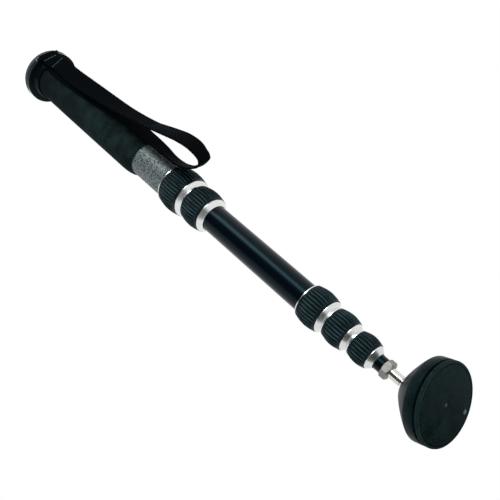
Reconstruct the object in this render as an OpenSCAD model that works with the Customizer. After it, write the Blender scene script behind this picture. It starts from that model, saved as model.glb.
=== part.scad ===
// Six-section camera monopod with twist locks, a foam grip, a wrist strap and a swivel foot.
// Z runs along the tubes and points up. The origin is on the camera face, where the screw stands out.
// Heights below the camera face are named u, so a height u lies at z = -u. The strap hangs on the +X side.

/* [Tubes] */
// Outside diameter of the uppermost tube, mm
tube_d_first = 32; // [30:0.5:36]
// Step in diameter from each tube to the next, mm
tube_d_step = 4; // [3.8:0.1:4.6]
// Wall of every tube, mm
tube_wall = 1.0; // [0.8:0.1:1.2]
// Height below the camera face at which the upper tube starts, mm
tube_start = 9.2; // [9:0.1:10]
// Height below the camera face of the second tube's upper end, pushed in, mm
bay_start = 24; // [23:0.5:32]
// Step in the upper ends of the inner tubes, mm
bay_step = 2; // [1:0.5:4]
// How far section 3 is drawn out as shown, mm
drawn_out = 112; // [60:1:150]
// Length of the plastic guide on each inner tube, mm
guide_len = 30; // [20:1:34]

/* [Twist locks] */
// Height below the camera face of the first lock's upper rim, mm
lock_start = 215.2; // [200:0.1:240]
// Length of the first rubber grip ring, mm
ring_len_first = 23.4; // [21:0.1:26]
// Step down in length from each grip ring to the next, mm
ring_len_step = 1.5; // [0.5:0.1:1.7]
// Length of the bare cone below each grip ring, mm
cone_len = 4.5; // [3.5:0.1:6]
// Gap between the stacked locks, pushed in, mm
stack_gap = 0.4; // [0.3:0.1:1]
// Width of the thin rim above each grip ring, mm
rim_len = 0.8; // [0.6:0.1:1]
// Height that each tube reaches into its lock, mm
tube_in_lock = 12; // [9:0.5:13]
// Height of the grip ring's swell over its ends, mm
ring_swell = 1.6; // [1:0.1:2.2]
// Ribs around the first grip ring
rib_count_first = 42; // [24:1:46]
// Fewer ribs on each next ring
rib_count_step = 4; // [0:1:5]
// Radius of the valley between two ribs, mm
valley_r = 0.75; // [0.5:0.05:0.9]

/* [Head] */
// Diameter of the camera platform, mm
platform_d = 53.2; // [50:0.1:60]
// Height below the camera face of the platform's underside, mm
platform_end = 4.6; // [4:0.1:4.7]
// Thickness of the rubber face on the platform, mm
face_thick = 1.2; // [0.8:0.1:2]
// Height of the collar's flange over its skirt, mm
flange_over = 6.4; // [5.6:0.1:7]
// Diameter of the camera screw, mm, 3/8 inch
screw_d = 9.525; // [6.35:3.175:9.525]
// Length of the camera screw above the platform, mm
screw_len = 10; // [7:0.5:12]
// Thickness of the foam grip on the upper tube, mm
foam_thick = 3.2; // [2.8:0.1:4.5]
// Height below the camera face where the foam ends, mm
foam_end = 172.8; // [150:0.1:190]

/* [Wrist strap] */
// Width of the webbing, mm
strap_width = 16; // [12:1:20]
// Thickness of the webbing, mm
strap_thick = 1.6; // [1.2:0.1:1.8]
// Distance of the strap's bar outside the collar's skirt, mm
bar_over = 5.4; // [5.2:0.1:6.8]
// Height of the strap's bar below the camera face, mm
bar_u = 8; // [7.8:0.1:9]
// Diameter of the strap's bar, mm
bar_d = 2.5; // [2:0.1:2.6]
// Turn of the strap's bar about the tubes, degrees
strap_turn = -8; // [-30:1:30]
// Drop of the loop from the bar to its lowest fold, mm
strap_drop = 241; // [200:0.1:260]
// How far the loop stands out from the foam, mm
strap_spread = 35; // [28:0.1:46]

/* [Foot] */
// Diameter of the foot, mm
foot_d = 60; // [54:0.5:70]
// Lean of the foot as shown, towards the strap, degrees
foot_tilt = 28.8; // [0:0.1:32]
// Distance of the ball's centre below the last lock, mm
ball_drop = 33.6; // [33:0.1:40]
// Radius of the ball, mm
ball_r = 7.5; // [7:0.1:7.8]
// Distance of the standing face from the ball's centre, mm
foot_height = 25.6; // [25:0.1:30]
// Width across the flats of the lock nut, mm
nut_flats = 13; // [12:0.1:14]
// Diameter of the stem, mm
stem_d = 8; // [7:0.1:8.4]

/* [Clearances] */
// Radial gap of a sliding or turning fit, mm
run_gap = 0.1; // [0.05:0.01:0.15]
// Radial gap of a fit that is glued or pressed, mm
seat_gap = 0.03; // [0.01:0.01:0.05]
// Gap at a face that must not rub, mm
free_gap = 0.3; // [0.2:0.05:0.4]

/* [Hidden] */
$fn = 96;
SECTIONS = 6;
LOCKS = 5;
LOCK_NAMES = ["ferrule_", "lock_nut_", "lock_grip_", "collet_"];

// Sizes of section n and of the lock at its lower end
function tube_r(n) = (tube_d_first - tube_d_step * (n - 1)) / 2;
function bore_r(n) = tube_r(n) - tube_wall;
function shift(n) = n >= 3 ? drawn_out : 0;
function ring_len(n) = ring_len_first - ring_len_step * (n - 1);
function lock_top(n) = n == 1 ? lock_start : lock_end(n - 1) + stack_gap + (n == 3 ? drawn_out : 0);
function ring_end(n) = lock_top(n) + ring_len(n);
function lock_end(n) = ring_end(n) + cone_len;
function tube_top(n) = n == 1 ? tube_start : bay_start + bay_step * (n - 2) + shift(n);
function tube_end(n) = n == SECTIONS ? plug_end - plug_rim : lock_top(n) + tube_in_lock;

// Conical seat in nut n that squeezes the collet: its two ends, and the height of a radius on it
function seat_top(n) = lock_top(n) + tube_in_lock + 3;
function seat_end(n) = lock_end(n) - 1;
function seat_top_r(n) = tube_r(n) + thread_over + run_gap - 0.5;
function seat_end_r(n) = tube_r(n + 1) + cone_bore;
function seat_u(n, r) =
    seat_top(n) + (seat_top_r(n) - r) / (seat_top_r(n) - seat_end_r(n)) * (seat_end(n) - seat_top(n));

// Radii of the lock's pieces over the tube that carries them
thread_over = 1.1;
body_over = 2.0;
ring_over = 2.4;
rim_over = 2.2;
cone_lip = 0.5;
cone_bore = 0.25;
cone_land = 0.7;
collet_tip = 0.9;

plug_show = 6.2;
plug_end = lock_end(LOCKS) + plug_show;
plug_rim = 1.5;
plug_len = 22;
plug_wall = 2;
ball_u = lock_end(LOCKS) + ball_drop;
nut_len = 5.5;
neck_r = 2.8;
neck_len = 12;
shank_step = 1;
shank_r = min(stem_d / 2 - shank_step, bore_r(SECTIONS) - plug_wall);
shank_in = 20;

groove_len = 0.4;
collar_low = 15;
foam_r = tube_r(1) + foam_thick;
foam_lead = 14;
foam_full = 45;
foam_taper = 12;
skirt_over = 1.0;
skirt_r = foam_r + skirt_over;
flange_r = skirt_r + flange_over;
flange_len = 4;
shoulder_over = 2;
plug_low = 22;
web_low = 9;
screw_r = screw_d / 2;
screw_low_r = 3.175;
screw_flange_r = 8;
screw_relief = 0.4;
ear_thick = 3;
ear_gap = 0.6;
ear_r = 2;
ear_reach = 6;
bar_out = skirt_r + bar_over;
bar_span = strap_width + 2 * ear_gap + 2 * ear_thick;
bar_head = 0.3;

bell_top = 6;
bell_rim_top = 11.5;
bell_open_r = 8.4;
bell_lip = 2.1;
bell_fullness = 1.15;
socket_r = 13;
cup_low = 0.4;
cup_rim = 1.3;
cup_len = 4.4;
pad_thick = 3.1;
pad_step = 1.5;
pad_step_r = foot_d / 2 - 2;
bell_end = foot_height - pad_thick - pad_step;
boss_len = 8.8;
boss_top = bell_end - boss_len;
rivet_r = 1.3;
rivet_shank_r = 0.8;
rivet_head = 0.9;
rivet_deep = 0.3;
rivet_len = 8.5;

// A ring between two heights below the camera face
module ring(r_in, r_out, u0, u1) {
    translate([0, 0, -u1])
        difference() {
            cylinder(r = r_out, h = u1 - u0);
            translate([0, 0, -1])
                cylinder(r = r_in, h = u1 - u0 + 2);
        }
}

// A turned piece from points of radius and height below the camera face
module turned(points) {
    rotate_extrude()
        polygon([for (p = points) [p[0], -p[1]]]);
}

// Puts a piece drawn around the ball's centre into the leaning foot
module in_foot() {
    translate([0, 0, -ball_u])
        rotate([0, -foot_tilt, 0])
            children();
}

module platform_face() {
    color("#2b2a2c")
        ring(screw_r + 0.5, platform_d / 2 - 0.8, 0, face_thick);
}

module platform_disc() {
    r = platform_d / 2;
    color("#15161a")
        turned([
            [screw_flange_r + seat_gap, face_thick],
            [r - 0.6, face_thick],
            [r, face_thick + 0.6],
            [r, platform_end - 0.8],
            [r - 0.8, platform_end],
            [screw_flange_r + seat_gap, platform_end]
        ]);
}

// The screw turns end for end: the large thread stands out, the small one sits in the plug
module camera_screw() {
    top = screw_len;
    color("#b8bcc2")
        rotate_extrude()
            polygon([
                [0, top],
                [screw_r - 0.8, top],
                [screw_r, top - 0.8],
                [screw_r, 0],
                [screw_r - screw_relief, 0],
                [screw_r - screw_relief, -face_thick - 0.2],
                [screw_flange_r, -face_thick - 0.2],
                [screw_flange_r, -platform_end],
                [screw_low_r, -platform_end],
                [screw_low_r, -plug_low + 3],
                [0, -plug_low + 3]
            ]);
}

// A round piece on the line of the strap's bar
module on_bar(r, len) {
    rotate([0, 0, strap_turn])
        translate([bar_out, 0, -bar_u])
            rotate([90, 0, 0])
                cylinder(r = r, h = len, center = true);
}

module head_collar() {
    r = flange_r;
    ear_y = strap_width / 2 + ear_gap;
    groove_end = platform_end + groove_len;
    flange_end = groove_end + flange_len;
    color("#141518")
        difference() {
            union() {
                turned([
                    [screw_low_r + seat_gap, platform_end],
                    [r - 2, platform_end],
                    [r - 2, groove_end],
                    [r, groove_end],
                    [r, flange_end - 0.4],
                    [r - 0.4, flange_end],
                    [skirt_r + shoulder_over, flange_end],
                    [skirt_r + 0.5, collar_low - 1.5],
                    [skirt_r, collar_low],
                    [tube_r(1) + seat_gap, collar_low],
                    [tube_r(1) + seat_gap, web_low],
                    [screw_low_r + seat_gap, web_low]
                ]);
                for (side = [-1, 1])
                    rotate([0, 0, strap_turn])
                        translate([bar_out, side * (ear_y + ear_thick / 2), -bar_u]) {
                            rotate([90, 0, 0])
                                cylinder(r = ear_r, h = ear_thick, center = true);
                            translate([-ear_reach, -ear_thick / 2, -ear_r])
                                cube([ear_reach, ear_thick, 2 * ear_r]);
                        }
            }
            // Hole for the bar, and a relief for the webbing that turns round it
            on_bar(bar_d / 2 + seat_gap, bar_span + 2 * ear_thick);
            on_bar(STRAP_WRAP + strap_thick / 2 + free_gap, strap_width + 2 * free_gap);
        }
}

module head_plug() {
    color("#8f9499")
        ring(screw_low_r + seat_gap, bore_r(1) - seat_gap, web_low + 0.2, plug_low);
}

module strap_bar() {
    color("#b8bcc2")
        on_bar(bar_d / 2, bar_span + 2 * bar_head);
}

module foam_grip() {
    r = foam_r;
    r_in = tube_r(1) + seat_gap;
    color("#1d211f")
        turned([
            [r_in, collar_low],
            [r - 0.8, collar_low],
            [r - 0.2, collar_low + foam_lead],
            [r, collar_low + foam_full],
            [r, foam_end - foam_taper],
            [r - 0.5, foam_end - foam_taper * 0.58],
            [r - 1.3, foam_end - foam_taper * 0.25],
            [r - 2.3, foam_end],
            [r_in, foam_end]
        ]);
}

// Middle line of the closed webbing loop, drawn for a loop of 35 by 241 mm: distance outside the foam,
// drop below the bar, turn about the tubes counted from the bar's, and lean of the webbing about its length.
STRAP_DRAWN = [35, 241];
STRAP_POINTS = [
    [6, 8, 1, 3], [5.5, 13.5, 4, 16], [6.5, 20.5, 5, 26], [6.5, 28.5, 5, 31],
    [7, 49, 4, 30], [8.5, 77, 6, 20], [11, 103.5, 7, 7], [14.5, 134.5, 8, -4],
    [19.5, 165.5, 10, -7], [23.5, 180, 10, -5], [29.5, 198.5, 9, -2], [33.5, 213.5, 9, 0],
    [35, 228, 9, -4], [32, 236.5, 10, -14], [28.5, 240, 11, -18], [24.5, 240.5, 10.5, -13],
    [18.5, 235, 9.5, 1], [10.5, 225, 10.5, 14], [6.5, 215, 10.5, 21], [4, 205.5, 13, 23],
    [2.5, 194.5, 15.5, 18], [3.5, 174.5, 17, 8.5], [3.5, 132, 17, -2], [2.5, 102, 12, -9],
    [2, 72, 5, -14], [2, 37, -1, -15], [2, 19, -1, -11], [2.5, 12.5, 0, -5]
];
// Where the webbing leaves the bar and comes back on to it, as shares of the turn round the bar
STRAP_WRAP = bar_d / 2 + strap_thick / 2 + run_gap;
STRAP_OFF = [[0.95, 0.55], [0.7, 1.3]];
STRAP_ON = [[-1.25, 2.4], [-1.05, 1.1], [-1, 0.5]];
STRAP_LINE = concat(
    [for (a = [180:-30:0]) [bar_out + STRAP_WRAP * cos(a), bar_u - STRAP_WRAP * sin(a), 0, 0]],
    [for (p = STRAP_OFF) [bar_out + STRAP_WRAP * p[0], bar_u + STRAP_WRAP * p[1], 0, 0]],
    [
        for (p = STRAP_POINTS) [
            foam_r + strap_spread * p[0] / STRAP_DRAWN[0],
            bar_u + strap_drop * p[1] / STRAP_DRAWN[1],
            p[2],
            p[3]
        ]
    ],
    [for (p = STRAP_ON) [bar_out + STRAP_WRAP * p[0], bar_u + STRAP_WRAP * p[1], 0, 0]]
);
STRAP_SUB = 3;

// Point on a smooth closed curve through the list, between points i and i + 1
function wrap(list, i) = list[(i + len(list)) % len(list)];
function spline(list, i, t) =
    let (a = wrap(list, i - 1), b = wrap(list, i), c = wrap(list, i + 1), d = wrap(list, i + 2))
    b + t * (c - a) / 2 + t * t * (2 * a - 5 * b + 4 * c - d) / 2 + t * t * t * (3 * b - a - 3 * c + d) / 2;
function smooth(list) =
    [for (i = [0:len(list) - 1], k = [0:STRAP_SUB - 1]) spline(list, i, k / STRAP_SUB)];
function unit(v) = v / norm(v);

// Corners of the webbing's cross-section at point i of the smooth line
function strap_middle(p) = [p[0] * cos(p[2]), p[0] * sin(p[2]), -p[1]];
function strap_corners(line, i) =
    let (
        along = unit(strap_middle(wrap(line, i + 1)) - strap_middle(wrap(line, i - 1))),
        side = [-sin(line[i][2]), cos(line[i][2]), 0],
        flat = unit(side - (side * along) * along),
        across = cos(line[i][3]) * flat + sin(line[i][3]) * cross(along, flat),
        half = across * strap_width / 2,
        lift = cross(along, across) * strap_thick / 2,
        middle = strap_middle(line[i])
    )
    [middle + half + lift, middle - half + lift, middle - half - lift, middle + half - lift];

module wrist_strap() {
    line = smooth(STRAP_LINE);
    count = len(line);
    color("#17181a")
        rotate([0, 0, strap_turn])
            polyhedron(
                points = [for (i = [0:count - 1]) each strap_corners(line, i)],
                faces = [
                    for (i = [0:count - 1], k = [0:3])
                        let (a = 4 * i, b = 4 * ((i + 1) % count), m = (k + 1) % 4)
                        each [[a + k, b + m, a + m], [a + k, b + k, b + m]]
                ]
            );
}

module tube(n) {
    color(n == 1 ? "#6f7472" : "#101114")
        ring(bore_r(n), tube_r(n), tube_top(n), tube_end(n));
}

// Plastic sleeve that carries the upper end of tube n in the tube around it
module guide(n) {
    color("#d8d6cc")
        ring(tube_r(n) + seat_gap, bore_r(n - 1) - run_gap, tube_top(n), tube_top(n) + guide_len);
}

// Threaded sleeve glued on the lower end of tube n, with the thin rim that shows
module ferrule(n) {
    top = lock_top(n);
    r = tube_r(n);
    color("#c3c7cc") {
        ring(r + seat_gap, r + thread_over, top, top + tube_in_lock);
        ring(r + seat_gap, r + rim_over, top, top + rim_len);
    }
}

// Nut that runs on the ferrule: its cone stays bare below the grip ring
module lock_nut(n) {
    r = tube_r(n);
    r_next = tube_r(n + 1);
    top = lock_top(n) + rim_len + 0.2;
    foot = lock_end(n);
    color("#c3c7cc")
        turned([
            [r + thread_over + run_gap, top],
            [r + body_over, top],
            [r + body_over, ring_end(n) + cone_land],
            [r_next + cone_lip + 0.4, foot - 0.5],
            [r_next + cone_lip, foot],
            [r_next + cone_bore, foot],
            [seat_end_r(n), seat_end(n)],
            [seat_top_r(n), seat_top(n)],
            [r + thread_over + run_gap, seat_top(n) - 2]
        ]);
}

module lock_grip(n) {
    r = tube_r(n) + body_over + seat_gap;
    top = lock_top(n) + rim_len + 0.2;
    len = ring_end(n) - top;
    ribs = rib_count_first - rib_count_step * (n - 1);
    steps = 8;
    edge = tube_r(n) + ring_over;
    color("#16181d")
        difference() {
            turned(concat(
                [[r, top]],
                [for (i = [0:steps]) [edge + ring_swell * sin(180 * i / steps), top + len * i / steps]],
                [[r, top + len]]
            ));
            for (i = [0:ribs - 1])
                rotate([0, 0, 360 * i / ribs])
                    translate([edge + ring_swell + 0.1, 0, -top - len - 1])
                        cylinder(r = valley_r, h = len + 2, $fn = 24);
        }
}

// Split plastic cone that the nut squeezes on to the next tube
module collet(n) {
    r = tube_r(n);
    r_next = tube_r(n + 1);
    top = lock_top(n) + tube_in_lock + free_gap;
    foot = seat_u(n, r_next + collet_tip + free_gap);
    color("#e4e0d2")
        difference() {
            turned([
                [r_next + run_gap, top],
                [r + thread_over - free_gap, top],
                [seat_top_r(n) - free_gap, seat_top(n)],
                [r_next + collet_tip, foot],
                [r_next + run_gap, foot]
            ]);
            for (i = [0:2])
                rotate([0, 0, 120 * i])
                    translate([0, -0.6, -foot - 1])
                        cube([r + 4, 1.2, foot - top - 1]);
        }
}

module end_plug() {
    color("#101114") {
        ring(shank_r + run_gap, bore_r(SECTIONS) - seat_gap, plug_end - plug_len, plug_end - plug_rim);
        ring(shank_r + run_gap, tube_r(SECTIONS), plug_end - plug_rim, plug_end);
    }
}

module stem_nut() {
    top = plug_end + 0.1;
    color("#b9b4a8")
        translate([0, 0, -top - nut_len])
            difference() {
                intersection() {
                    cylinder(d = nut_flats / cos(30), h = nut_len, $fn = 6);
                    rotate_extrude()
                        polygon([
                            [0, 0],
                            [nut_flats / 2 + 0.1, 0],
                            [nut_flats / 2 + 1.2, 0.7],
                            [nut_flats / 2 + 1.2, nut_len - 0.7],
                            [nut_flats / 2 + 0.1, nut_len],
                            [0, nut_len]
                        ]);
                }
                translate([0, 0, -1])
                    cylinder(d = stem_d + 2 * run_gap, h = nut_len + 2);
            }
}

module foot_stem() {
    shank_top = plug_end - shank_in;
    color("#c9cdd2") {
        translate([0, 0, -ball_u])
            sphere(r = ball_r);
        translate([0, 0, -ball_u])
            cylinder(r = neck_r, h = neck_len + 0.5);
        ring(0, stem_d / 2, plug_end + free_gap, ball_u - neck_len);
        translate([0, 0, -plug_end - 1])
            cylinder(r = shank_r, h = plug_end - shank_top + 1);
    }
}

// Upper half of the ball's seat: its lip keeps the ball from pulling out
module socket_cup() {
    color("#d8d6cc")
        in_foot()
            difference() {
                union() {
                    translate([0, 0, -cup_low])
                        cylinder(r = bell_open_r - run_gap, h = cup_len);
                    translate([0, 0, -cup_low])
                        cylinder(r = socket_r - run_gap, h = cup_rim);
                }
                sphere(r = ball_r + run_gap);
            }
}

module socket_keeper() {
    top = cup_low + run_gap;
    low = boss_top - 2 * run_gap;
    color("#8f9499")
        in_foot()
            difference() {
                translate([0, 0, -low])
                    cylinder(r = socket_r - run_gap, h = low - top);
                sphere(r = ball_r + run_gap);
            }
}

// The bell swells from its neck to its rim along a rounded cone
module foot_bell() {
    r = foot_d / 2;
    neck = bell_open_r + bell_lip;
    color("#24272a")
        in_foot()
            turned(concat(
                [[bell_open_r, -bell_top]],
                [
                    for (a = [0:9:90]) [
                        neck + (r - neck) * pow(sin(a), 2 / bell_fullness),
                        bell_rim_top - (bell_rim_top + bell_top) * pow(cos(a), 2 / bell_fullness)
                    ]
                ],
                [
                    [r, bell_end - 0.6],
                    [r - 0.6, bell_end],
                    [socket_r, bell_end],
                    [socket_r, -cup_rim + cup_low - run_gap],
                    [bell_open_r, -cup_rim + cup_low - run_gap]
                ]
            ));
}

module foot_pad() {
    r = foot_d / 2;
    top = foot_height - pad_thick;
    color("#2f3334")
        in_foot()
            difference() {
                turned([
                    [0, boss_top],
                    [socket_r - run_gap, boss_top],
                    [socket_r - run_gap, bell_end],
                    [pad_step_r, bell_end],
                    [pad_step_r, top],
                    [r - 0.5, top],
                    [r, top + 0.5],
                    [r, foot_height - 1],
                    [r - 1, foot_height],
                    [0, foot_height]
                ]);
                translate([0, 0, -foot_height - 1])
                    cylinder(r = rivet_r + seat_gap, h = 1 + rivet_deep + rivet_head);
                translate([0, 0, -foot_height])
                    cylinder(r = rivet_shank_r + seat_gap, h = rivet_deep + rivet_len + run_gap);
            }
}

module pad_rivet() {
    color("#8f9499")
        in_foot() {
            translate([0, 0, -foot_height + rivet_deep])
                cylinder(r = rivet_r, h = rivet_head);
            translate([0, 0, -foot_height + rivet_deep])
                cylinder(r = rivet_shank_r, h = rivet_len);
        }
}

platform_face();
platform_disc();
camera_screw();
head_collar();
head_plug();
strap_bar();
wrist_strap();
foam_grip();
for (n = [1:SECTIONS])
    tube(n);
for (n = [2:SECTIONS])
    guide(n);
for (n = [1:LOCKS]) {
    ferrule(n);
    lock_nut(n);
    lock_grip(n);
    collet(n);
}
end_plug();
stem_nut();
foot_stem();
socket_cup();
socket_keeper();
foot_bell();
foot_pad();
pad_rivet();
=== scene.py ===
"""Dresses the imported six-section monopod.

Makes its foam grip, rubber rings, webbing strap, camera screw and foot, gives every piece its finish, and
sets it in a white studio.
"""

import math

import bmesh
import bpy
from mathutils import Matrix, Vector


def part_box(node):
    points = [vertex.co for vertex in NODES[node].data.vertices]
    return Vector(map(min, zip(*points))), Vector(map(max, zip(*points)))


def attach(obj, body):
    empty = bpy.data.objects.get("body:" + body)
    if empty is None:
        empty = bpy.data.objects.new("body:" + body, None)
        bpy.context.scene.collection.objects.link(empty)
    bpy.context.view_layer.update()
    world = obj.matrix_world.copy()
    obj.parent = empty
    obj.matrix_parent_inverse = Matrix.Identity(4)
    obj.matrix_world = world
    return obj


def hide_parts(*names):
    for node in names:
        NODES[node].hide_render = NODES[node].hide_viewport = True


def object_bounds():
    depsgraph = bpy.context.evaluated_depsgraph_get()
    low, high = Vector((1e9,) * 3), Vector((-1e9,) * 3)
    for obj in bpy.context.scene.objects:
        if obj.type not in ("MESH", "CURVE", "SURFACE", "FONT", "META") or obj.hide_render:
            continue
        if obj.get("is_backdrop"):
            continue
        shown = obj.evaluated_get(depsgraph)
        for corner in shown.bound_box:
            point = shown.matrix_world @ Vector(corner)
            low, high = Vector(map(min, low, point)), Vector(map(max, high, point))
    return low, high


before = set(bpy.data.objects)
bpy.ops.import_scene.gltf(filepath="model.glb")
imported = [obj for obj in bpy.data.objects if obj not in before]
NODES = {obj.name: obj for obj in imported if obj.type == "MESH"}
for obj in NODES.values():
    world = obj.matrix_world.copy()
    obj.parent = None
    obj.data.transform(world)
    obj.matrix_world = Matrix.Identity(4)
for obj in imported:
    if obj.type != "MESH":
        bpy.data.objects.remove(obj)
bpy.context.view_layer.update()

bl_info = {
    "name": "Camera Monopod",
    "version": (1, 0, 0),
    "blender": (4, 5, 0),
    "location": "View3D > Sidebar > Monopod",
    "description": "Builds the soft and detailed pieces of a camera monopod around its CAD frame",
    "category": "Object",
}

MM = 0.001
LOCKS = 5


# Measures of the frame, in metres. Heights below the camera face are negative z.

def radius_of(node):
    """Largest radius of an upright turned node."""
    low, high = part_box(node)
    return (high[1] - low[1]) / 2


def span_of(node):
    """Upper and lower z of a node."""
    low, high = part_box(node)
    return high[2], low[2]


# The foot leans on the ball at the end of its stem
FOOT_TILT = math.radians(28.8)
BALL_RADIUS = 7.5 * MM
BALL = Vector((0.0, 0.0, span_of("foot_stem")[1] + BALL_RADIUS))
FOOT_TURN = Matrix.Translation(BALL) @ Matrix.Rotation(-FOOT_TILT, 4, "Y")
# Radius of the foot, and heights of its bell's edge and its standing face from the ball, before it leans
FOOT_RADIUS, BELL_LOW, FOOT_FACE = 30 * MM, -21 * MM, -25.6 * MM
# Space in the bell for the ball's socket: radius, and height of its top
SOCKET_RADIUS, SOCKET_TOP = 13 * MM, 1 * MM


# Colours

def linear(hex_colour, times=1.0):
    """sRGB hex to a linear RGBA tuple, made lighter or darker by a factor."""
    value = hex_colour.lstrip("#")
    channels = [int(value[i:i + 2], 16) / 255 for i in (0, 2, 4)]
    return tuple(
        min(1.0, times * (c / 12.92 if c <= 0.04045 else ((c + 0.055) / 1.055) ** 2.4)) for c in channels
    ) + (1.0,)


class MonopodSizes(bpy.types.PropertyGroup):
    """Sizes of the dressed pieces."""

    foam_skin: bpy.props.FloatProperty(
        name="Foam softness", description="How far the foam's ends round over",
        default=1.6 * MM, unit="LENGTH",
    )
    rib_depth: bpy.props.FloatProperty(
        name="Rib depth", description="Depth of the valleys between the ribs of a lock ring",
        default=1.0 * MM, unit="LENGTH",
    )
    rib_count: bpy.props.IntProperty(
        name="Ribs on the first ring", description="Ribs round the uppermost lock ring", default=42,
    )
    rib_step: bpy.props.IntProperty(
        name="Fewer ribs per ring", description="Ribs lost from each ring to the next", default=4,
    )
    strap_width: bpy.props.FloatProperty(
        name="Strap width", description="Width of the webbing", default=16 * MM, unit="LENGTH",
    )
    strap_thick: bpy.props.FloatProperty(
        name="Strap thickness", description="Thickness of the webbing", default=1.5 * MM, unit="LENGTH",
    )
    thread_pitch: bpy.props.FloatProperty(
        name="Thread pitch", description="Pitch of the camera screw's thread",
        default=1.5875 * MM, unit="LENGTH",
    )


class MonopodColours(bpy.types.PropertyGroup):
    """Colours of the finishes, as sRGB hex."""

    foam: bpy.props.StringProperty(name="Foam", description="Closed-cell foam", default="#0e191a")
    webbing: bpy.props.StringProperty(name="Webbing", description="Woven nylon", default="#030609")
    thread: bpy.props.StringProperty(name="Thread", description="Seams of the strap", default="#7c8082")
    hammer: bpy.props.StringProperty(name="Hammered paint", description="Upper tube", default="#6a7678")
    ring: bpy.props.StringProperty(name="Ring rubber", description="Ribs of the rings", default="#2e4249")
    silver: bpy.props.StringProperty(name="Aluminium", description="Lock cones and rims", default="#e8eaea")
    anodised: bpy.props.StringProperty(name="Anodised tube", description="Inner tubes", default="#02050a")
    enamel: bpy.props.StringProperty(name="Enamel", description="Collar of the head", default="#070c0f")
    # The platform disc is grey, drawn lighter than the collar's enamel partly as a painted highlight on its
    # lit side wall
    disc: bpy.props.StringProperty(name="Disc", description="Camera platform", default="#3a3f41")
    nickel: bpy.props.StringProperty(name="Nickel", description="Lock nut of the foot", default="#7f817b")
    chrome: bpy.props.StringProperty(name="Chrome", description="Stem of the foot", default="#dcd9d4")
    steel: bpy.props.StringProperty(name="Steel", description="Screw and strap bar", default="#d2d4d6")
    bell: bpy.props.StringProperty(name="Foot rubber", description="Bell of the foot", default="#071114")
    pad: bpy.props.StringProperty(name="Pad rubber", description="Standing face", default="#101c1c")
    scuff: bpy.props.StringProperty(name="Scuff", description="Worn spot on the pad", default="#8f9491")
    face: bpy.props.StringProperty(name="Face rubber", description="Top of the platform", default="#1c1d1f")
    nylon: bpy.props.StringProperty(name="Nylon", description="Guides and collets", default="#d9d6cb")


def sizes():
    """Sizes set in the panel."""
    return bpy.context.scene.monopod_sizes


def colours():
    """Colours set in the panel."""
    return bpy.context.scene.monopod_colours


# Materials

def add_node(tree, kind, settings=None, links=None):
    """Adds one node.

    settings go to its properties or input sockets, links join other nodes' outputs to its inputs.
    """
    node = tree.nodes.new(kind)
    for key, value in (settings or {}).items():
        if isinstance(key, str) and hasattr(node, key):
            setattr(node, key, value)
        else:
            node.inputs[key].default_value = value
    for key, output in (links or {}).items():
        tree.links.new(output, node.inputs[key])
    return node


def new_material(name, shader_settings):
    """A material with one Principled shader, its node tree and that shader."""
    material = bpy.data.materials.new(name)
    material.use_nodes = True
    tree = material.node_tree
    shader = tree.nodes["Principled BSDF"]
    for key, value in shader_settings.items():
        shader.inputs[key].default_value = value
    return material, tree, shader


def per_metre(millimetres):
    """Texture scale for a pattern that repeats at this size."""
    return 1.0 / (millimetres * MM)


def blended(tree, factor, dark, light):
    """A colour between two linear colours."""
    mix = add_node(tree, "ShaderNodeMix", {"data_type": "RGBA"})
    mix.inputs["A"].default_value = dark
    mix.inputs["B"].default_value = light
    tree.links.new(factor, mix.inputs["Factor"])
    return mix.outputs["Result"]


def object_point(tree):
    """Where a point lies on its piece, in metres."""
    return add_node(tree, "ShaderNodeTexCoord").outputs["Object"]


def stretched(tree, at, scale):
    """Point with its axes scaled, so that a pattern runs on along the small ones."""
    return add_node(tree, "ShaderNodeMapping", {"Scale": scale}, {"Vector": at}).outputs["Vector"]


def noise(tree, at, size_mm, detail=2.0):
    """Cloudy pattern with patches of about this size."""
    return add_node(
        tree, "ShaderNodeTexNoise", {"Scale": per_metre(size_mm), "Detail": detail}, {"Vector": at}
    ).outputs["Fac"]


def mapped(tree, value, low, high, to_low=0.0, to_high=1.0):
    """Spreads a value from one range over another."""
    return add_node(
        tree, "ShaderNodeMapRange",
        {"From Min": low, "From Max": high, "To Min": to_low, "To Max": to_high},
        {"Value": value},
    ).outputs["Result"]


def joined(tree, operation, first, second):
    """Two values joined by an arithmetic operation."""
    return add_node(
        tree, "ShaderNodeMath", {"operation": operation}, {0: first, 1: second}
    ).outputs["Value"]


def feed(tree, shader, links):
    """Joins outputs to the shader's inputs."""
    for key, output in links.items():
        tree.links.new(output, shader.inputs[key])


def bump(tree, shader, height, strength, depth_mm):
    """Feeds a height into the shader's normal."""
    node = add_node(
        tree, "ShaderNodeBump", {"Strength": strength, "Distance": depth_mm * MM}, {"Height": height}
    )
    tree.links.new(node.outputs["Normal"], shader.inputs["Normal"])


# Blue-green cast of the shine on black anodising, rubber and enamel
COLD_SHINE = linear("#6fa6b2")


def foam_material():
    """Closed-cell foam rubber, moulded: dull, finely pored, paler in cloudy patches from handling, with
    painted shade darkening the top of the grip.
    """
    material, tree, shader = new_material(
        "closed_cell_foam", {"Roughness": 0.95, "Specular IOR Level": 0.06}
    )
    at = object_point(tree)
    pores = noise(tree, at, 0.9, 3.0)
    clouds = mapped(tree, joined(tree, "ADD", noise(tree, at, 12, 4.0), pores), 0.75, 1.25)
    height = add_node(tree, "ShaderNodeSeparateXYZ", None, {"Vector": at}).outputs["Z"]
    # Painted shade: the colour darkens from the middle of the grip up to its top
    top, middle = -15 * MM, -110 * MM
    # Random cloudy tone times the painted shade towards the top
    worn = joined(tree, "MULTIPLY", clouds, mapped(tree, height, top, middle, 0.35, 1.0))
    foam = colours().foam
    feed(tree, shader, {"Base Color": blended(tree, worn, linear(foam, 0.5), linear(foam, 2.3))})
    bump(tree, shader, pores, 0.35, 0.25)
    return material


# Length over which a band texture of scale 1 repeats
BAND_REPEAT = math.pi / 10


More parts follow.
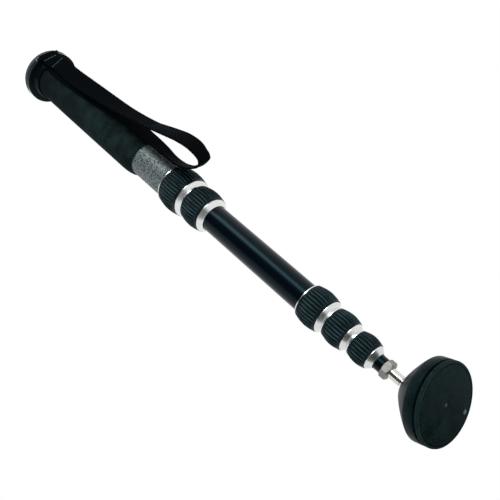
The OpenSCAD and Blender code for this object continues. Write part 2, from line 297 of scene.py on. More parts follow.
def webbing_material():
    """Flat-woven nylon: yarns crossing in fine rows, dull and nearly black."""
    material, tree, shader = new_material(
        "woven_nylon", {"Roughness": 0.85, "Specular IOR Level": 0.015}
    )
    at = add_node(tree, "ShaderNodeUVMap", {"uv_map": "Webbing"}).outputs["UV"]
    rows = [
        add_node(
            tree, "ShaderNodeTexWave",
            {
                "wave_type": "BANDS", "bands_direction": way,
                "Scale": BAND_REPEAT * per_metre(size), "Distortion": 0.4,
            },
            {"Vector": at},
        ).outputs["Fac"]
        # Yarns are 0.55 mm apart on such webbing; drawn wider so that they show.
        for way, size in (("X", 1.6), ("Y", 1.4))
    ]
    weave = joined(tree, "MULTIPLY", *rows)
    base = colours().webbing
    feed(tree, shader, {"Base Color": blended(tree, weave, linear(base), linear(base, 2.0))})
    bump(tree, shader, weave, 0.5, 0.25)
    return material


def hammer_material():
    """Hammered stove enamel with aluminium flake: fine mottled grey cells, dimpled."""
    material, tree, shader = new_material(
        "hammered_enamel", {"Metallic": 0.4, "Coat Weight": 0.05, "Coat Roughness": 0.3}
    )
    at = object_point(tree)
    wander = add_node(tree, "ShaderNodeTexNoise", {"Scale": per_metre(2.2)}, {"Vector": at})
    reach = 1.2 * MM
    moved = add_node(
        tree, "ShaderNodeVectorMath", {"operation": "MULTIPLY_ADD", 1: (reach, reach, reach)},
        {0: wander.outputs["Color"], 2: at},
    )
    cells = add_node(
        tree, "ShaderNodeTexVoronoi", {"Scale": per_metre(1.4)}, {"Vector": moved.outputs["Vector"]}
    ).outputs["Distance"]
    shade = mapped(tree, joined(tree, "ADD", cells, noise(tree, at, 1.2)), 0.75, 1.08)
    grey = colours().hammer
    feed(tree, shader, {
        "Base Color": blended(tree, shade, linear(grey, 0.06), linear(grey)),
        "Roughness": mapped(tree, shade, 0, 1, 0.65, 0.5),
    })
    bump(tree, shader, cells, 0.4, 0.3)
    return material


def ring_material():
    """Moulded nitrile rubber: blue-black and satin, with a painted highlight along the ribs and painted
    shade in the valleys.
    """
    material, tree, shader = new_material(
        "moulded_rubber", {"Specular IOR Level": 0.2, "Specular Tint": COLD_SHINE}
    )
    at = object_point(tree)
    rib = add_node(tree, "ShaderNodeAttribute", {"attribute_name": "rib"}).outputs["Fac"]
    bloom = noise(tree, at, 6, 5.0)
    # Random streaks along the ribs that make the painted highlight brighter on some ribs than on others
    streaks = noise(tree, stretched(tree, at, (1.0, 1.0, 0.2)), 2.2, 3.0)
    highlight_streaks = joined(
        tree, "MULTIPLY",
        mapped(tree, streaks, 0.35, 0.65, 0.3, 1.4), mapped(tree, bloom, 0.3, 0.7, 0.7, 1.1),
    )
    worn = joined(tree, "MULTIPLY", rib, highlight_streaks)
    base = colours().ring
    # Painted shade in the valleys, nearly black, and a painted highlight on the ridges
    feed(tree, shader, {
        "Base Color": blended(tree, worn, linear(base, 0.03), linear(base, 1.15)),
        "Roughness": mapped(tree, bloom, 0.3, 0.7, 0.35, 0.55),
    })
    bump(tree, shader, noise(tree, at, 0.4), 0.12, 0.1)
    return material


def lined_metal(name, colour, roughness, line_mm, line_run, line_shade):
    """Bare metal, turned, drawn or plated: fine lines or an even grain part its shine."""
    material, tree, shader = new_material(name, {"Metallic": 1.0})
    at = object_point(tree)
    lines = mapped(tree, noise(tree, stretched(tree, at, line_run), line_mm, 3.0), 0.3, 0.7)
    feed(tree, shader, {
        "Base Color": blended(tree, lines, linear(colour, line_shade), linear(colour)),
        "Roughness": mapped(tree, lines, 0, 1, roughness * 1.1, roughness * 0.92),
    })
    bump(tree, shader, lines, 0.06, 0.02)
    return material


def anodised_material():
    """Black anodised drawn aluminium: deep, glossy and cold, with faint draw lines along the tube."""
    material, tree, shader = new_material(
        "black_anodised_aluminium", {"Specular IOR Level": 0.25, "Specular Tint": COLD_SHINE}
    )
    at = object_point(tree)
    lines = noise(tree, stretched(tree, at, (1.0, 1.0, 0.01)), 1.5, 4.0)
    base = colours().anodised
    feed(tree, shader, {
        "Base Color": blended(tree, lines, linear(base), linear(base, 2.0)),
        "Roughness": mapped(tree, lines, 0.2, 0.8, 0.16, 0.3),
    })
    return material


def enamel_material(name, colour, roughness, shine):
    """Stove enamel over a casting: satin with a slight orange peel."""
    material, tree, shader = new_material(
        name, {"Roughness": roughness, "Specular IOR Level": shine, "Specular Tint": COLD_SHINE}
    )
    peel = noise(tree, object_point(tree), 2.0)
    feed(tree, shader, {"Base Color": blended(tree, peel, linear(colour, 0.7), linear(colour, 1.5))})
    bump(tree, shader, peel, 0.08, 0.15)
    return material


def foot_rubber(name, colour, rough_low, rough_high, scuff=None):
    """Moulded rubber: dull, patchy and finely grained, pale at a scuff, with a painted highlight along the
    pad's lip.
    """
    material, tree, shader = new_material(
        name, {"Specular IOR Level": 0.1, "Specular Tint": COLD_SHINE}
    )
    at = object_point(tree)
    patches, grain = noise(tree, at, 9, 6.0), noise(tree, at, 1.5, 3.0)
    # Painted highlight along the crest of the pad's lip, read from the attribute set on the pad
    worn = add_node(tree, "ShaderNodeAttribute", {"attribute_name": "worn"}).outputs["Fac"]
    mottle = mapped(tree, joined(tree, "ADD", patches, grain), 0.75, 1.25, 0.0, 0.6)
    shade = joined(tree, "ADD", mottle, worn)
    colour_out = blended(tree, shade, linear(colour, 0.8), linear(colour, 2.8))
    if scuff is not None:
        away = add_node(tree, "ShaderNodeVectorMath", {"operation": "DISTANCE", 1: scuff}, {0: at})
        mark = joined(tree, "MULTIPLY", mapped(tree, away.outputs["Value"], 2.2 * MM, 1.0 * MM), grain)
        pale = blended(tree, mark, linear(colour), linear(colours().scuff))
        tree.links.new(colour_out, pale.node.inputs["A"])
        colour_out = pale
    feed(tree, shader, {
        "Base Color": colour_out, "Roughness": mapped(tree, patches, 0.3, 0.7, rough_low, rough_high),
    })
    bump(tree, shader, grain, 0.15, 0.1)
    return material


def nylon_material():
    """Natural moulded nylon: waxy off-white with a faint flow mottle."""
    material, tree, shader = new_material("natural_nylon", {"Roughness": 0.45})
    flow = noise(tree, object_point(tree), 8)
    base = colours().nylon
    feed(tree, shader, {"Base Color": blended(tree, flow, linear(base, 0.9), linear(base, 1.1))})
    return material


def thread_material():
    """Twisted polyester sewing thread: grey, plies marked along each stitch."""
    material, tree, shader = new_material(
        "polyester_thread", {"Roughness": 0.8, "Specular IOR Level": 0.1}
    )
    plies = noise(tree, object_point(tree), 0.3)
    base = colours().thread
    feed(tree, shader, {"Base Color": blended(tree, plies, linear(base, 0.5), linear(base, 1.2))})
    return material


# Finishes made so far, by name
FINISHES = {}
# Which way the lines of a bare metal run on
ROUND, ALONG, EVERY_WAY = (0.02, 0.02, 1.0), (1.0, 1.0, 0.02), (1.0, 1.0, 1.0)
# Pale scuff on the pad, from the ball, before the foot leans
SCUFF = Vector((-16.4 * MM, 17.6 * MM, FOOT_FACE))


def finish_of(kind):
    """Makes a finish once and hands it out by name."""
    if kind not in FINISHES:
        shades = colours()
        FINISHES[kind] = {
            "foam": foam_material,
            "webbing": webbing_material,
            "thread": thread_material,
            "hammer": hammer_material,
            "ring": ring_material,
            "silver": lambda: lined_metal("satin_aluminium", shades.silver, 0.28, 0.3, ROUND, 0.88),
            "anodised": anodised_material,
            "enamel": lambda: enamel_material("black_enamel", shades.enamel, 0.3, 0.15),
            # Grey enamel of the disc: its own grey, made lighter than the collar partly as painted light on
            # its lit side
            "disc": lambda: enamel_material("grey_enamel", shades.disc, 0.5, 0.2),
            "nickel": lambda: lined_metal("nickel_plate", shades.nickel, 0.36, 2.5, EVERY_WAY, 0.8),
            "chrome": lambda: lined_metal("hard_chrome", shades.chrome, 0.16, 1.2, ALONG, 0.85),
            "steel": lambda: lined_metal("bright_steel", shades.steel, 0.25, 0.4, ROUND, 0.6),
            "bell": lambda: foot_rubber("bell_rubber", shades.bell, 0.38, 0.55),
            "pad": lambda: foot_rubber("pad_rubber", shades.pad, 0.6, 0.8, FOOT_TURN @ SCUFF),
            "face": lambda: foot_rubber("platform_rubber", shades.face, 0.6, 0.8),
            "nylon": nylon_material,
        }[kind]()
    return FINISHES[kind]


def dress(piece, kind):
    """Gives a piece one finish."""
    piece.data.materials.clear()
    piece.data.materials.append(finish_of(kind))


# Modelling helpers

WELD_DISTANCE = 1e-6
SMOOTH_ANGLE = math.radians(35)


def deselect():
    """Leaves edit mode and selects nothing."""
    if bpy.context.object and bpy.context.object.mode != "OBJECT":
        bpy.ops.object.mode_set(mode="OBJECT")
    bpy.ops.object.select_all(action="DESELECT")


def take(piece):
    """Makes a piece the only selected and active one."""
    deselect()
    piece.select_set(True)
    bpy.context.view_layer.objects.active = piece


def spun(name, profile, steps, close=False):
    """Draws a profile of (radius, z) points in the XZ plane and spins it round Z."""
    mesh = bpy.data.meshes.new(name)
    count = len(profile)
    edges = [(i, i + 1) for i in range(count - 1)] + ([(count - 1, 0)] if close else [])
    mesh.from_pydata([(r, 0.0, z) for r, z in profile], edges, [])
    piece = bpy.data.objects.new(name, mesh)
    bpy.context.collection.objects.link(piece)
    take(piece)
    bpy.ops.object.mode_set(mode="EDIT")
    bpy.ops.mesh.select_all(action="SELECT")
    bpy.ops.mesh.spin(steps=steps, angle=2 * math.pi, center=(0, 0, 0), axis=(0, 0, 1))
    bpy.ops.mesh.select_all(action="SELECT")
    bpy.ops.mesh.remove_doubles(threshold=WELD_DISTANCE)
    bpy.ops.mesh.normals_make_consistent(inside=False)
    bpy.ops.object.mode_set(mode="OBJECT")
    bpy.ops.object.shade_smooth_by_angle(angle=SMOOTH_ANGLE)
    return piece


def rounded(points, radius, steps=4):
    """Rounds every corner of a closed (radius, z) outline by an arc of about this radius."""
    out = []
    count = len(points)
    for i in range(count):
        before, here, after = (Vector(points[(i + k) % count]) for k in (-1, 0, 1))
        into, away = (before - here), (after - here)
        reach = min(radius, into.length * 0.45, away.length * 0.45)
        start, end = here + into.normalized() * reach, here + away.normalized() * reach
        for k in range(steps + 1):
            t = k / steps
            out.append(tuple((1 - t) ** 2 * start + 2 * t * (1 - t) * here + t ** 2 * end))
    return out


def stands_for(piece, body, slot, *nodes):
    """Rides a piece on its body, in place of CAD nodes."""
    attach(piece, body)
    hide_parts(*nodes)


class MONOPOD_OT_foam_grip(bpy.types.Operator):
    """Foam sleeve on the upper tube, with rounded ends and a slight waist below the head"""

    bl_idname = "monopod.foam_grip"
    bl_label = "Foam grip"

    def execute(self, context):
        top, low = span_of("foam_grip")
        outer, inner = radius_of("foam_grip"), radius_of("tube_1") + 0.05 * MM
        length = top - low
        roll = sizes().foam_skin
        outline = [
            (inner, top),
            (outer - 0.8 * MM, top),
            (outer - 0.5 * MM, top - 8 * MM),
            (outer - 0.15 * MM, top - 20 * MM),
            (outer, top - 45 * MM),
            (outer, top - length * 0.6),
            (outer, low + 13 * MM),
            (outer - 0.4 * MM, low + 7 * MM),
            (outer - 1.2 * MM, low + 3 * MM),
            (outer - 2.3 * MM, low),
            (inner, low),
        ]
        grip = spun("foam_sleeve", rounded(outline, roll), steps=96, close=True)
        dress(grip, "foam")
        stands_for(grip, "upper", "foam", "foam_grip")
        return {"FINISHED"}


# Lock rings: seat and lip of the rubber outside its tube, rows over its height, steps round each rib
RING_SEAT, RING_LIP, RING_ROWS, STEPS_PER_RIB = 2.03 * MM, 2.4 * MM, 26, 10
# Plain lip above and below the valleys, and the run in which they deepen, as shares of the ring's height
PLAIN_LIP, VALLEY_RUN = 0.05, 0.14


class MONOPOD_OT_lock_rings(bpy.types.Operator):
    """Ribbed rubber rings of the twist locks, swelling in the middle"""

    bl_idname = "monopod.lock_rings"
    bl_label = "Lock rings"

    def execute(self, context):
        for number in range(1, LOCKS + 1):
            self.ring(number)
        return {"FINISHED"}

    def ring(self, number):
        node = f"lock_grip_{number}"
        top, low = span_of(node)
        widest = radius_of(node)
        tube = radius_of(f"tube_{number}")
        seat = tube + RING_SEAT
        edge = tube + RING_LIP
        outline = [(seat, top)]
        for i in range(RING_ROWS + 1):
            t = i / RING_ROWS
            swell = math.sin(math.pi * t)
            outline.append((edge + (widest - edge) * swell, top + (low - top) * t))
        outline.append((seat, low))
        ribs = sizes().rib_count - sizes().rib_step * (number - 1)
        piece = spun(f"ribbed_ring_{number}", outline, ribs * STEPS_PER_RIB, close=True)
        self.flute(piece, ribs, seat, top, low)
        dress(piece, "ring")
        stands_for(piece, f"lock_{number}", "ring_rubber", node)

    def flute(self, piece, ribs, seat, top, low):
        """Presses a valley between each two ribs, fading out towards the ring's edges."""
        depth = sizes().rib_depth
        rib = piece.data.attributes.new("rib", "FLOAT", "POINT").data
        for vertex in piece.data.vertices:
            x, y, z = vertex.co
            r = math.hypot(x, y)
            if r < seat + 0.1 * MM:
                continue
            t = (top - z) / (top - low)
            fade = min(1.0, max(0.0, min(t, 1 - t) - PLAIN_LIP) / VALLEY_RUN)
            ridge = (0.5 - 0.5 * math.cos(ribs * math.atan2(y, x))) ** 1.5
            shrink = 1 - depth * fade * (1 - ridge) / r
            vertex.co = (x * shrink, y * shrink, z)
            # The rib attribute marks the ridges for a painted highlight and the valleys for painted shade
            # in the ring's finish
            rib[vertex.index].value = fade * ridge ** 2 + 0.1 * (1 - fade)


# The strap's bar: distance from the axis, drop below the camera face and radius of the webbing's turn
# round it, in millimetres, and the bar's turn about the tubes in degrees
BAR_OUT, BAR_DOWN, BAR_WRAP, BAR_TURN = 25.6, 8.0, 2.15, -8
# Radius of the foam that the strap hangs beside, in millimetres
STRAP_FOAM = 19.2
# Middle line of the closed webbing loop, in millimetres and degrees: distance outside the foam, drop
# below the bar, turn about the tubes counted from the bar's, and lean of the webbing about its own length
STRAP_POINTS = (
    (6, 8, 1, 3), (5.5, 13.5, 4, 16), (6.5, 20.5, 5, 26), (6.5, 28.5, 5, 31),
    (7, 49, 4, 30), (8.5, 77, 6, 20), (11, 103.5, 7, 7), (14.5, 134.5, 8, -4),
    (19.5, 165.5, 10, -7), (23.5, 180, 10, -5), (29.5, 198.5, 9, -2), (33.5, 213.5, 9, 0),
    (35, 228, 9, -4), (32, 236.5, 10, -14), (28.5, 240, 11, -18), (24.5, 240.5, 10.5, -13),
    (18.5, 235, 9.5, 1), (10.5, 225, 10.5, 14), (6.5, 215, 10.5, 21), (4, 205.5, 13, 23),
    (2.5, 194.5, 15.5, 18), (3.5, 174.5, 17, 8.5), (3.5, 132, 17, -2), (2.5, 102, 12, -9),
    (2, 72, 5, -14), (2, 37, -1, -15), (2, 19, -1, -11), (2.5, 12.5, 0, -5),
)
# Where the webbing leaves the bar and comes back on to it, in radii of its turn round the bar
STRAP_OFF = ((0.95, 0.55), (0.7, 1.3))
STRAP_ON = ((-1.25, 2.4), (-1.05, 1.1), (-1, 0.5))
STRAP_SUBSTEPS = 6
# Upper stretch of the outer layer, and how far below the bar each seam crosses it, in millimetres
SEAM_STRETCH = slice(STRAP_SUBSTEPS * 7, STRAP_SUBSTEPS * 16)
SEAM_DROPS = (6, 17)


def round_bar(radii):
    """Points beside the bar, given in radii of the webbing's turn round it."""
    return [Vector((BAR_OUT + BAR_WRAP * x, BAR_DOWN + BAR_WRAP * y, 0, 0)) for x, y in radii]


def strap_line():
    """Points of the closed loop: distance from the axis, height below the camera face, turn and lean."""
    wrap = [(math.cos(math.radians(a)), -math.sin(math.radians(a))) for a in range(180, -1, -30)]
    line = round_bar(wrap + list(STRAP_OFF))
    for out, drop, turn, lean in STRAP_POINTS:
        line.append(Vector((STRAP_FOAM + out, BAR_DOWN + drop, turn, lean)))
    line += round_bar(STRAP_ON)
    count = len(line)
    smooth = []
    for i in range(count):
        a, b, c, d = (line[(i + k) % count] for k in (-1, 0, 1, 2))
        for k in range(STRAP_SUBSTEPS):
            t = k / STRAP_SUBSTEPS
            smooth.append(
                b + t * (c - a) / 2 + t * t * (2 * a - 5 * b + 4 * c - d) / 2
                + t ** 3 * (3 * b - a - 3 * c + d) / 2
            )
    return smooth


def strap_frames():
    """Middle of the webbing, direction across its width and outward lift, all round the loop."""
    line = strap_line()
    middles, sides = [], []
    for out, down, turn, _ in line:
        angle = math.radians(BAR_TURN + turn)
        middles.append(Vector((out * math.cos(angle), out * math.sin(angle), -down)) * MM)
        sides.append(Vector((-math.sin(angle), math.cos(angle), 0)))
    frames = []
    for i, middle in enumerate(middles):
        along = (middles[(i + 1) % len(middles)] - middles[i - 1]).normalized()
        flat = (sides[i] - sides[i].dot(along) * along).normalized()
        lean = math.radians(line[i][3])
        across = math.cos(lean) * flat + math.sin(lean) * along.cross(flat)
        frames.append((middle, across, along.cross(across)))
    return frames


class MONOPOD_OT_wrist_strap(bpy.types.Operator):
    """Loop of flat webbing through the head's bar, with its two seams"""

    bl_idname = "monopod.wrist_strap"
    bl_label = "Wrist strap"

    def execute(self, context):
        frames = strap_frames()
        strap = self.webbing(frames)
        seams = self.seams(frames)
        stands_for(strap, "strap", "webbing", "wrist_strap")
        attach(seams, "strap")
        return {"FINISHED"}

    def webbing(self, frames):
        count, columns = len(frames), 8
        width = sizes().strap_width
        lengths = [0.0]
        for i in range(count):
            lengths.append(lengths[-1] + (frames[(i + 1) % count][0] - frames[i][0]).length)
        mesh = bmesh.new()
        uv = mesh.loops.layers.uv.new("Webbing")
        rows = [
            [mesh.verts.new(middle + (j / columns - 0.5) * width * across) for j in range(columns + 1)]
            for middle, across, _ in frames
        ]
        for i in range(count):
            here, ahead = rows[i], rows[(i + 1) % count]
            for j in range(columns):
                face = mesh.faces.new((here[j], ahead[j], ahead[j + 1], here[j + 1]))
                ends = (lengths[i], lengths[i + 1], lengths[i + 1], lengths[i])
                for loop, along, side in zip(face.loops, ends, (j, j, j + 1, j + 1)):
                    loop[uv].uv = (side / columns * width, along)
        strap = self.piece("webbing_loop", mesh)
        body = strap.modifiers.new("body", "SOLIDIFY")
        body.thickness = sizes().strap_thick
        body.offset = 0.0
        edge = strap.modifiers.new("edge", "BEVEL")
        edge.width = 0.45 * MM
        edge.segments = 3
        edge.limit_method = "ANGLE"
        edge.angle_limit = math.radians(50)
        for modifier in ("body", "edge"):
            bpy.ops.object.modifier_apply(modifier=modifier)
        bpy.ops.object.shade_smooth_by_angle(angle=math.radians(40))
        dress(strap, "webbing")
        return strap

    def piece(self, name, mesh):
        """Turns a finished bmesh into the active object."""
        data = bpy.data.meshes.new(name)
        mesh.to_mesh(data)
        mesh.free()
        piece = bpy.data.objects.new(name, data)
        bpy.context.collection.objects.link(piece)
        take(piece)
        return piece

    def seams(self, frames):
        """Two rows of running stitches across the outer layer, below the bar."""
        outer = frames[SEAM_STRETCH]
        width = sizes().strap_width
        stitches, margin = 7, 1 * MM
        pitch = (width - 2 * margin) / stitches
        mesh = bmesh.new()
        for drop in SEAM_DROPS:
            at = min(outer, key=lambda station: abs(station[0].z + (BAR_DOWN + drop) * MM))
            for k in range(stitches):
                self.stitch(mesh, at, -width / 2 + margin + pitch * (k + 0.5), pitch * 0.66)
        bmesh.ops.recalc_face_normals(mesh, faces=mesh.faces)
        seams = self.piece("strap_seams", mesh)
        bpy.ops.object.shade_smooth()
        dress(seams, "thread")
        return seams

    def stitch(self, mesh, station, middle, length):
        """One stitch: a short thread that rises out of the webbing and dives back."""
        thread, sides, steps = 0.24 * MM, 6, 7
        sunk, lift = 0.1 * MM, 0.4 * MM
        foot, across, up = station
        along = across.cross(up)
        rings = []
        for i in range(steps + 1):
            t = i / steps
            rise = min(1.0, 2.2 * math.sin(math.pi * t))
            height = sizes().strap_thick / 2 - sunk + lift * rise
            centre = foot + (middle + length * (t - 0.5)) * across + height * up
            ring = []
            for s in range(sides):
                angle = 2 * math.pi * s / sides
                ray = math.cos(angle) * up + math.sin(angle) * along
                ring.append(mesh.verts.new(centre + thread * ray))
            rings.append(ring)
        for a, b in zip(rings, rings[1:]):
            for s in range(sides):
                mesh.faces.new((a[s], a[(s + 1) % sides], b[(s + 1) % sides], b[s]))
        mesh.faces.new(rings[0][::-1])
        mesh.faces.new(rings[-1])


# Camera screw: diameter, depth of its thread as a share of the pitch, depth below the camera face
SCREW_DIAMETER, THREAD_SHARE, SCREW_SUNK = 9.525 * MM, 0.61, 1.2 * MM
# Cone on the screw's end: how far its edge lies inside the thread's crest
SCREW_CONE = 0.9 * MM


class MONOPOD_OT_camera_screw(bpy.types.Operator):
    """Camera screw with its cut thread and relieved neck"""

    bl_idname = "monopod.camera_screw"
    bl_label = "Camera screw"

    def execute(self, context):
        top, neck = span_of("camera_screw")[0], -SCREW_SUNK
        crest, pitch = SCREW_DIAMETER / 2, sizes().thread_pitch
        root = crest - THREAD_SHARE * pitch
        # The thread starts above a plain neck and deepens over a short run
        thread_from, thread_run = 0.2 * MM, 1.2 * MM
        deselect()
        bpy.ops.mesh.primitive_cylinder_add(
            vertices=72, radius=crest, depth=top - neck,
            location=(0, 0, (top + neck) / 2), end_fill_type="NGON",
        )
        screw = context.object
        screw.name = screw.data.name = "threaded_stud"
        bpy.ops.object.transform_apply(location=True, rotation=True, scale=True)
        bpy.ops.object.mode_set(mode="EDIT")
        shape = bmesh.from_edit_mesh(screw.data)
        for edge in shape.edges:
            edge.select_set(abs(edge.verts[0].co.z - edge.verts[1].co.z) > MM)
        shape.select_flush_mode()
        bpy.ops.mesh.subdivide(number_cuts=110)
        bpy.ops.object.mode_set(mode="OBJECT")
        for vertex in screw.data.vertices:
            x, y, z = vertex.co
            angle = math.atan2(y, x) / (2 * math.pi)
            phase = (z / pitch - angle) % 1.0
            flank = min(1.0, max(0.0, 1.25 * (1 - abs(2 * phase - 1)) - 0.12))
            lead = min(1.0, max(0.0, (z - thread_from) / thread_run))
            r = root + (crest - root) * flank * lead
            r = min(r, crest - SCREW_CONE + (top - z))
            vertex.co = (x * r / crest, y * r / crest, z)
        bpy.ops.object.shade_smooth_by_angle(angle=math.radians(28))
        dress(screw, "steel")
        stands_for(screw, "upper", "steel", "camera_screw")
        return {"FINISHED"}


class MONOPOD_OT_foot(bpy.types.Operator):
    """Rubber bell and standing pad of the foot, leaning on the ball"""

    bl_idname = "monopod.foot"
    bl_label = "Foot"

    def execute(self, context):
        self.bell()
        self.pad()
        return {"FINISHED"}

    def place(self, piece):
        """Leans a piece made upright round the ball, and keeps its place in its mesh."""
        piece.data.transform(FOOT_TURN)
        piece.data.update()

    def bell(self):
        wide, neck, bore = FOOT_RADIUS, 10.5 * MM, 8.4 * MM
        top, rim, low, fullness = 6 * MM, -13.5 * MM, BELL_LOW, 1.08
        outline = [(bore, top - 0.5 * MM), (bore + 0.5 * MM, top), (neck - 0.4 * MM, top)]
        for k in range(1, 31):
            angle = math.radians(3 * k)
            outline.append((
                neck + (wide - neck) * math.sin(angle) ** (2 / fullness),
                rim + (top - rim) * max(0.0, math.cos(angle)) ** (2 / fullness),
            ))
        outline += [
            (wide, low + 0.6 * MM), (wide - 0.2 * MM, low + 0.2 * MM), (wide - 0.6 * MM, low),
            (SOCKET_RADIUS, low), (SOCKET_RADIUS, SOCKET_TOP), (bore, SOCKET_TOP),
        ]
        bell = spun("rubber_bell", outline, steps=128, close=True)
        self.place(bell)
        dress(bell, "bell")
        stands_for(bell, "foot", "foot_rubber", "foot_bell")

    def pad(self):
        wide, face, pin = FOOT_RADIUS, FOOT_FACE, 1.33 * MM
        crest, inside = wide - 1 * MM, face + 0.05 * MM
        outline = [
            (0, -21.2 * MM), (27.6 * MM, -21.2 * MM), (28 * MM, -22.5 * MM), (29.6 * MM, -22.55 * MM),
            (wide, -22.9 * MM), (wide, -24.4 * MM), (wide - 0.3 * MM, -25.2 * MM), (crest, face),
            (wide - 1.7 * MM, face), (wide - 2 * MM, face + 0.5 * MM), (wide - 2.5 * MM, face + 0.5 * MM),
            (wide - 2.8 * MM, inside), (10 * MM, inside), (pin + 0.3 * MM, inside),
            (pin, face + 0.2 * MM), (pin, face + 1.2 * MM), (0, face + 1.2 * MM),
        ]
        pad = spun("standing_pad", outline, steps=128)
        worn = pad.data.attributes.new("worn", "FLOAT", "POINT").data
        for vertex in pad.data.vertices:
            x, y, _ = vertex.co
            # Painted highlight: the crest of the lip is marked to be drawn lighter
            worn[vertex.index].value = 0.8 if abs(math.hypot(x, y) - crest) < 0.1 * MM else 0.0
        self.place(pad)
        dress(pad, "pad")
        stands_for(pad, "foot", "pad_rubber", "foot_pad")


class MONOPOD_OT_finishes(bpy.types.Operator):
    """Finishes of the CAD pieces that show as they are"""

    bl_idname = "monopod.finishes"
    bl_label = "Finishes"

    def execute(self, context):
        kinds = {
            "platform_face": "face", "platform_disc": "disc",
            "head_collar": "enamel", "head_plug": "silver", "strap_bar": "steel",
            "tube_1": "hammer", "end_plug": "anodised",
            "stem_nut": "nickel", "foot_stem": "chrome",
            "socket_cup": "nylon", "socket_keeper": "silver", "pad_rivet": "nickel",
        }
        for number in range(2, LOCKS + 2):
            kinds[f"tube_{number}"] = "anodised"
            kinds[f"guide_{number}"] = "nylon"
        for number in range(1, LOCKS + 1):
            kinds[f"ferrule_{number}"] = "silver"
            kinds[f"lock_nut_{number}"] = "silver"
            kinds[f"collet_{number}"] = "nylon"
        for node, kind in kinds.items():
            dress(NODES[node], kind)
        return {"FINISHED"}


# Camera of the photograph: it looks up along the monopod from beside its foot
CAMERA_AT = Vector((0.3845, -0.3004, -0.5937))
CAMERA_LOOK = Vector((-0.6848, 0.5346, 0.4952))
CAMERA_UP = Vector((0.7205, 0.3944, 0.5704))
CAMERA_LENS, CAMERA_SENSOR = 50.4, 36.0

# Floor: colour, side, gap below the foot, and where it goes over into white, from the monopod's axis
FLOOR_COLOUR, FLOOR_SIDE, FLOOR_GAP = "#f4f4f2", 8.0, 0.2 * MM
FADE_FROM, FADE_TO = 0.12, 0.7
# Dark cards: colours of their cloth
CLOTH_DARK, CLOTH_PALE = "#0a0c0e", "#2a2d30"
# Strength of the white surroundings, as light on the pieces and as seen or mirrored
ROOM_LIGHT, ROOM_SEEN = 0.55, 1.0
# Lamps round the middle of the monopod: name, direction, distance, width and height, power
LAMPS_ROUND = Vector((0, 0, -0.26))
LAMPS = (
    ("softbox", Vector((0.985, -0.174, 0.46)), 1.1, (0.4, 1.0), 7.5),
    ("fill", Vector((0.1, -0.8, -0.6)), 1.2, (0.9, 0.9), 4.5),
    ("top", Vector((-0.3, 0.2, 0.95)), 1.3, (0.9, 0.9), 6.0),
)


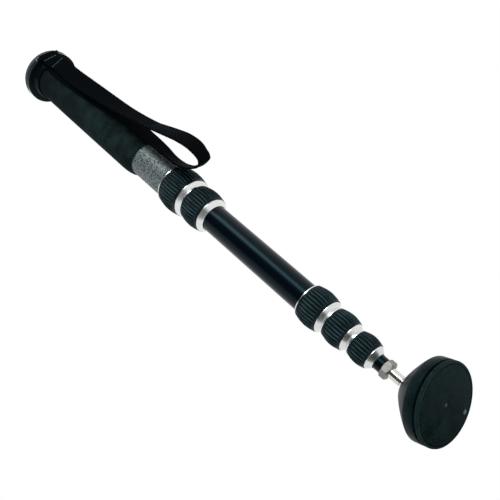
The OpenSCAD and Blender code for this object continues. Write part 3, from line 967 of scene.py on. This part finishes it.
class MONOPOD_OT_stage(bpy.types.Operator):
    """Camera, pale floor, white surroundings, soft lamps and two dark cards that the metal mirrors"""

    bl_idname = "monopod.stage"
    bl_label = "Stage"

    def execute(self, context):
        self.camera(context)
        self.floor()
        self.cards()
        self.world(context)
        self.lamps()
        context.scene.view_settings.view_transform = "Standard"
        return {"FINISHED"}

    def camera(self, context):
        data = bpy.data.cameras.new("photo_camera")
        data.lens, data.sensor_width = CAMERA_LENS, CAMERA_SENSOR
        data.clip_start, data.clip_end = 0.01, 20.0
        camera = bpy.data.objects.new("photo_camera", data)
        context.collection.objects.link(camera)
        back = -CAMERA_LOOK.normalized()
        right = CAMERA_UP.cross(back).normalized()
        up = back.cross(right)
        turn = Matrix((right, up, back)).transposed().to_4x4()
        camera.matrix_world = Matrix.Translation(CAMERA_AT) @ turn
        context.scene.camera = camera

    def floor(self):
        """Pale floor that keeps the shadow and goes over into white.

        The camera stands below it, so its underside is clear.
        """
        deselect()
        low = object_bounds()[0][2]
        bpy.ops.mesh.primitive_plane_add(size=FLOOR_SIDE, location=(0, 0, low - FLOOR_GAP))
        floor = bpy.context.object
        floor.name = "pale_floor"
        material, tree, shader = new_material(
            "pale_floor", {"Base Color": linear(FLOOR_COLOUR), "Roughness": 0.9}
        )
        path = add_node(tree, "ShaderNodeLightPath")
        side = add_node(tree, "ShaderNodeNewGeometry")
        unseen = joined(tree, "MAXIMUM", path.outputs["Is Shadow Ray"], path.outputs["Is Diffuse Ray"])
        clear = joined(tree, "MAXIMUM", side.outputs["Backfacing"], unseen)
        away = add_node(tree, "ShaderNodeVectorMath", {"operation": "LENGTH"}, {0: object_point(tree)})
        white = add_node(tree, "ShaderNodeEmission", {"Strength": 1.0})
        through = add_node(tree, "ShaderNodeBsdfTransparent")
        fade = mapped(tree, away.outputs["Value"], FADE_FROM, FADE_TO)
        ground = add_node(
            tree, "ShaderNodeMixShader", None,
            {0: fade, 1: shader.outputs["BSDF"], 2: white.outputs["Emission"]},
        )
        mix = add_node(
            tree, "ShaderNodeMixShader", None,
            {0: clear, 1: ground.outputs["Shader"], 2: through.outputs["BSDF"]},
        )
        tree.links.new(mix.outputs["Shader"], tree.nodes["Material Output"].inputs["Surface"])
        floor.data.materials.append(material)
        floor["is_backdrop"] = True

    def cards(self):
        """Dark cloth beside the camera, one piece lying and one standing, that shows only as mirrored."""
        material, tree, shader = new_material("dark_cloth", {"Roughness": 0.9, "Specular IOR Level": 0.0})
        folds = noise(tree, object_point(tree), 40)
        feed(tree, shader, {"Base Color": blended(tree, folds, linear(CLOTH_DARK), linear(CLOTH_PALE))})
        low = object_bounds()[0][2]
        cards = (
            ("lying_card", 0.32, (0.085, -0.21, low + 2 * MM), (0, 0, math.radians(-23))),
            ("standing_card", 0.9, (0.36, -0.60, 0.1), (math.radians(90), 0, math.radians(33))),
        )
        for name, size, at, turn in cards:
            deselect()
            bpy.ops.mesh.primitive_plane_add(size=size, location=at, rotation=turn)
            card = bpy.context.object
            card.name = name
            card.data.materials.append(material)
            card.visible_camera = card.visible_diffuse = card.visible_shadow = False
            card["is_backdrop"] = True

    def world(self, context):
        world = bpy.data.worlds.new("white_room")
        context.scene.world = world
        world.use_nodes = True
        tree = world.node_tree
        background = tree.nodes["Background"]
        path = add_node(tree, "ShaderNodeLightPath")
        mirrored = joined(
            tree, "MAXIMUM", path.outputs["Is Glossy Ray"], path.outputs["Is Transmission Ray"]
        )
        seen = joined(tree, "MAXIMUM", path.outputs["Is Camera Ray"], mirrored)
        tree.links.new(mapped(tree, seen, 0, 1, ROOM_LIGHT, ROOM_SEEN), background.inputs["Strength"])
        background.inputs["Color"].default_value = (1.0, 1.0, 1.0, 1.0)

    def lamps(self):
        """Tall softbox in front on the right, soft lamps low on the left and overhead."""
        for name, toward, distance, size, power in LAMPS:
            data = bpy.data.lights.new(name, "AREA")
            data.shape, data.energy = "RECTANGLE", power
            data.size, data.size_y = size
            lamp = bpy.data.objects.new(name, data)
            bpy.context.collection.objects.link(lamp)
            lamp.location = LAMPS_ROUND + toward.normalized() * distance
            lamp.rotation_euler = (-toward).to_track_quat("-Z", "Y").to_euler()


OPERATORS = (
    MONOPOD_OT_foam_grip,
    MONOPOD_OT_lock_rings,
    MONOPOD_OT_wrist_strap,
    MONOPOD_OT_camera_screw,
    MONOPOD_OT_foot,
    MONOPOD_OT_finishes,
    MONOPOD_OT_stage,
)


class MONOPOD_PT_panel(bpy.types.Panel):
    """Lists the pieces in the sidebar"""

    bl_idname = "MONOPOD_PT_panel"
    bl_label = "Monopod"
    bl_space_type = "VIEW_3D"
    bl_region_type = "UI"
    bl_category = "Monopod"

    def draw(self, context):
        for operator in OPERATORS:
            self.layout.operator(operator.bl_idname)
        for group in (context.scene.monopod_sizes, context.scene.monopod_colours):
            for name in group.bl_rna.properties.keys():
                if name not in {"rna_type", "name"}:
                    self.layout.prop(group, name)


CLASSES = (MonopodSizes, MonopodColours, *OPERATORS, MONOPOD_PT_panel)


def register():
    for cls in CLASSES:
        bpy.utils.register_class(cls)
    bpy.types.Scene.monopod_sizes = bpy.props.PointerProperty(type=MonopodSizes)
    bpy.types.Scene.monopod_colours = bpy.props.PointerProperty(type=MonopodColours)


def unregister():
    del bpy.types.Scene.monopod_colours
    del bpy.types.Scene.monopod_sizes
    for cls in reversed(CLASSES):
        bpy.utils.unregister_class(cls)


def main():
    register()
    bpy.ops.monopod.foam_grip()
    bpy.ops.monopod.lock_rings()
    bpy.ops.monopod.wrist_strap()
    bpy.ops.monopod.camera_screw()
    bpy.ops.monopod.foot()
    bpy.ops.monopod.finishes()
    bpy.ops.monopod.stage()


if __name__ == "__main__":
    main()
